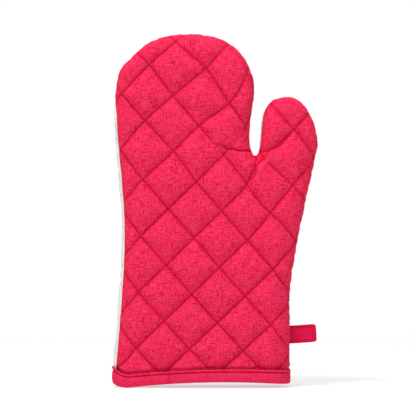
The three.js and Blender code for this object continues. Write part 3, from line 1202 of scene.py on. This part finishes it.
def binding_stitching():
    """A row of stitches in the groove of the binding."""
    ring, normals = (values[::2] for values in cuff_section(STITCH / 2))
    height = binding_height(ring[:, 0])
    step = join_step(*ring.T)
    holes = np.column_stack([ring + normals * (0.42 + 0.5 * step)[:, None], height * 0.79])
    ups = np.column_stack([normals, np.zeros(len(ring))])
    holes = np.concatenate([holes, holes[:1]])
    points, faces = stitch_mesh([(holes, ups)], THREAD_RADIUS, lift=0.1)
    return make_mesh("cuff_stitching", lift_cuff(points), faces, None, [THREAD])


# -------- hanging loop


def loop_path(spacing):
    """The folded tape's middle line seen from above: out along the front, round the end and back."""
    middle = LOOP_CENTRE_Y
    turn = np.linspace(-TURN, TURN, 13)
    bend = LOOP_BEND * np.column_stack([np.cos(turn), np.sin(turn)])
    end = bend + (LOOP_END - LOOP_BEND, middle)
    out = np.array([(LOOP_ROOT, middle - 0.6), (LOOP_ROOT + 12, middle - LOOP_BEND)])
    back = out[::-1] * (1, -1) + (0, 2 * middle)
    path = evenly(np.concatenate([out, end, back]), spacing)
    along = np.gradient(path, axis=0)
    return path, unit(np.column_stack([along[:, 1], -along[:, 0]]))


def tilt_loop(points):
    """Turns the loop up a little about its root."""
    x, z = points[:, 0] - LOOP_ROOT, points[:, 2] - LOOP_CENTRE_Z
    tilted = points.copy()
    tilted[:, 0] = LOOP_ROOT + x * math.cos(LOOP_TILT) - z * math.sin(LOOP_TILT)
    tilted[:, 2] = LOOP_CENTRE_Z + x * math.sin(LOOP_TILT) + z * math.cos(LOOP_TILT)
    return tilted


def loop_rim(from_edge):
    """1 on the tape's rolled rim and 0 inside it."""
    return smooth(-from_edge, -LOOP_RIM, -LOOP_RIM + 0.6)


def loop_groove(from_edge):
    """1 where the stitching presses the tape in."""
    return np.exp(-(((from_edge - LOOP_SEWN) / 0.5) ** 2))


def hanging_loop():
    """The folded tape, swollen at its rim and pressed in where it is sewn."""
    path, normals = loop_path(LOOP_STEP)
    past = np.clip(path[:, 0] - (LOOP_END - LOOP_CORNER), 0, LOOP_CORNER)
    half = LOOP_WIDTH / 2 - LOOP_CORNER + np.sqrt(LOOP_CORNER**2 - past**2)
    from_end = LOOP_END - path[:, 0]
    end_rim = loop_rim(from_end) - loop_groove(from_end)
    shares = np.concatenate([np.linspace(-1, -0.7, 8), np.linspace(-0.6, 0.6, 7), np.linspace(0.7, 1, 8)])
    sag = 0.25 * lumps(path, 9, 8)
    crumple = 0.12 * lumps(path, 4, 11)
    outer, inner, rims = [], [], []
    for share in shares:
        from_edge = (1 - abs(share)) * LOOP_WIDTH / 2
        rims.append(np.maximum(loop_rim(from_edge), end_rim))
        swell = rims[-1] - np.maximum(loop_groove(from_edge), np.maximum(-end_rim, 0))
        rounded = math.sqrt(1 - max(0, 0.75 - from_edge) ** 2)
        thick = LOOP_HALF_THICKNESS * rounded + 0.16 * swell + crumple
        z = LOOP_CENTRE_Z + share * half + sag
        outer.append(np.column_stack([path + normals * thick[:, None], z]))
        inner.append(np.column_stack([path - normals * LOOP_HALF_THICKNESS * 0.7, z]))
    points = np.stack(outer + inner[::-1], axis=1)
    length, width, _ = points.shape
    faces = tube_faces(length, width)
    pattern = strip_pattern(length, LOOP_STEP, np.concatenate([shares, shares[::-1]]) * LOOP_WIDTH / 2)
    obj = make_mesh("loop_tape", tilt_loop(points.reshape(-1, 3)), faces, pattern, [LOOP_TAPE])
    # Painted shade along the tape's rolled rims.
    record_painted_shade(obj, np.stack(rims + rims[::-1], axis=1).ravel())
    subdivide(obj)
    return obj


def loop_stitching():
    """A row along both edges and across the end, on each face of the tape."""
    path, _ = loop_path(LOOP_STEP)
    middle = len(path) // 2
    high = LOOP_WIDTH / 2 - LOOP_SEWN
    runs = []
    for line, up in ((path[:middle], (0.0, -1.0, 0.0)), (path[:middle:-1], (0.0, 1.0, 0.0))):
        line = line[line[:, 0] < LOOP_END - LOOP_SEWN]
        low = np.column_stack([line, np.full(len(line), LOOP_CENTRE_Z - high)])
        top = np.column_stack([line, np.full(len(line), LOOP_CENTRE_Z + high)])
        row = evenly(np.concatenate([low, top[::-1]]), LOOP_STITCH)
        holes = row + np.multiply(up, LOOP_HALF_THICKNESS - 0.05)
        runs.append((tilt_loop(holes), np.repeat([up], len(holes), axis=0)))
    points, faces = stitch_mesh(runs, THREAD_RADIUS * 0.8, lift=0.08)
    return make_mesh("loop_stitching", points, faces, None, [THREAD])


# -------- seam allowance


def seam_allowance():
    """The two raw edges, overlocked together, inside the mitt all round the seam."""
    points, normals = outline(ALLOWANCE_STEP)
    above = points[:, 1] > ALLOWANCE_FOOT
    points, normals = points[above], normals[above]
    y = -half_depth(points[:, 1]) * np.sin(seam_turn(points))
    ripple = 0.5 * lumps(points, 7, 9)
    section = [
        (ALLOWANCE_FROM, -ALLOWANCE_HALF),
        (ALLOWANCE_TO, -ALLOWANCE_HALF),
        (ALLOWANCE_TO + 0.7, 0),
        (ALLOWANCE_TO, ALLOWANCE_HALF),
        (ALLOWANCE_FROM, ALLOWANCE_HALF),
    ]
    rows = []
    for inset, off in section:
        at = points - normals * inset
        rows.append(np.column_stack([at[:, 0], y * 0.6 + off + ripple, at[:, 1]]))
    faces = tube_faces(len(points), len(section))
    pattern = strip_pattern(len(points), ALLOWANCE_STEP, [inset for inset, _ in section])
    solid = np.stack(rows, axis=1).reshape(-1, 3)
    return make_mesh("overlocked_edges", solid, faces, pattern, [LINING])


# -------- the whole mitt


def bend_with_thumb(obj):
    """Moves the object's placement into its mesh."""
    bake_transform(obj)


def bend_with_loop(obj):
    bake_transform(obj)


def add_side(label, side, knot, divisions, fabric, slot, thread):
    cover = shell(f"{label}_shell", side, knot, divisions, fabric)
    wad = padding(f"{label}_wadding", side, knot)
    inner = lining(f"{label}_lining", side, knot)
    sewing = quilting(f"{label}_quilting", side, knot, thread)
    slots = {cover: slot, wad: "wadding", inner: "lining", sewing: "thread"}
    for obj, material_slot in slots.items():
        bend_with_thumb(obj)
        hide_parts(f"{obj.name}_hand", f"{obj.name}_thumb")


def add_trim():
    allowance = seam_allowance()
    bend_with_thumb(allowance)
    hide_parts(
        "seam_allowance_fingers", "seam_allowance_wrist", "seam_allowance_thumb"
    )
    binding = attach(cuff_binding(), "mitt")
    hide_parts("cuff_binding")
    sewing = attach(binding_stitching(), "mitt")
    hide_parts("binding_stitching")
    loop = hanging_loop()
    bend_with_loop(loop)
    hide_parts("hanging_loop")
    loop_sewing = loop_stitching()
    bend_with_loop(loop_sewing)


# -------- stage


def floor():
    """A plain white floor, which glows a little so that it comes out as pale as the studio."""
    reach = 800
    corners = [(-reach, -reach, 0), (reach, -reach, 0), (reach, reach, 0), (-reach, reach, 0)]
    n = Nodes("light table")
    n.shade({
        "Base Color": (0.42, 0.42, 0.42),
        "Roughness": 0.9,
        "Specular IOR Level": 0.0,
        "Emission Color": (1, 1, 1),
        "Emission Strength": 0.55,
    })
    make_mesh("floor", corners, [(0, 1, 2, 3)], None, [n.material])


def light(name, location, target, size, watts):
    data = bpy.data.lights.new(name, "AREA")
    data.shape = "RECTANGLE"
    data.size, data.size_y = size
    data.energy = watts
    obj = bpy.data.objects.new(name, data)
    obj.location = location
    obj.rotation_euler = (Vector(target) - Vector(location)).to_track_quat("-Z", "Y").to_euler()
    bpy.context.scene.collection.objects.link(obj)


def lighting():
    """A white studio whose ceiling is darker, with three soft boxes."""
    world = bpy.data.worlds.new("studio")
    bpy.context.scene.world = world
    world.use_nodes = True
    tree = world.node_tree
    background = tree.nodes["Background"]
    background.inputs["Color"].default_value = (1, 1, 1, 1)
    direction = tree.nodes.new("ShaderNodeTexCoord")
    parts = tree.nodes.new("ShaderNodeSeparateXYZ")
    height = tree.nodes.new("ShaderNodeMapRange")
    for name, number in (("From Min", 0.12), ("From Max", 0.35), ("To Min", 1.0), ("To Max", 0.12)):
        height.inputs[name].default_value = number
    tree.links.new(direction.outputs["Generated"], parts.inputs["Vector"])
    tree.links.new(parts.outputs["Z"], height.inputs["Value"])
    tree.links.new(height.outputs["Result"], background.inputs["Strength"])
    light("key", (-0.8, -1.2, 2.6), (0, 0, 0.15), (0.8, 0.6), 52)
    light("overhead", (-0.05, -0.05, 2.2), (-0.05, -0.05, 0), (2.4, 2.4), 40)
    light("fill", (0.4, -1.8, 0.7), (0, 0, 0.15), (0.8, 0.8), 5)


def camera():
    """Square to the back of the mitt and level, from some way off."""
    far, view_width = 2.4, 0.3652
    data = bpy.data.cameras.new("camera")
    data.sensor_width = 36
    data.lens = data.sensor_width * far / view_width
    obj = bpy.data.objects.new("camera", data)
    obj.location = (-0.0057, -far, 0.1567)
    obj.rotation_euler = (math.radians(90), 0, 0)
    bpy.context.scene.collection.objects.link(obj)
    bpy.context.scene.camera = obj


camera()
lighting()
floor()
bpy.context.scene.view_settings.view_transform = "Standard"
add_side("back", -1, BACK_KNOT, 20, PINK, "shell_pink", THREAD)
add_side("palm", 1, PALM_KNOT, 14, CREAM, "palm_cotton", CREAM_THREAD)
add_trim()
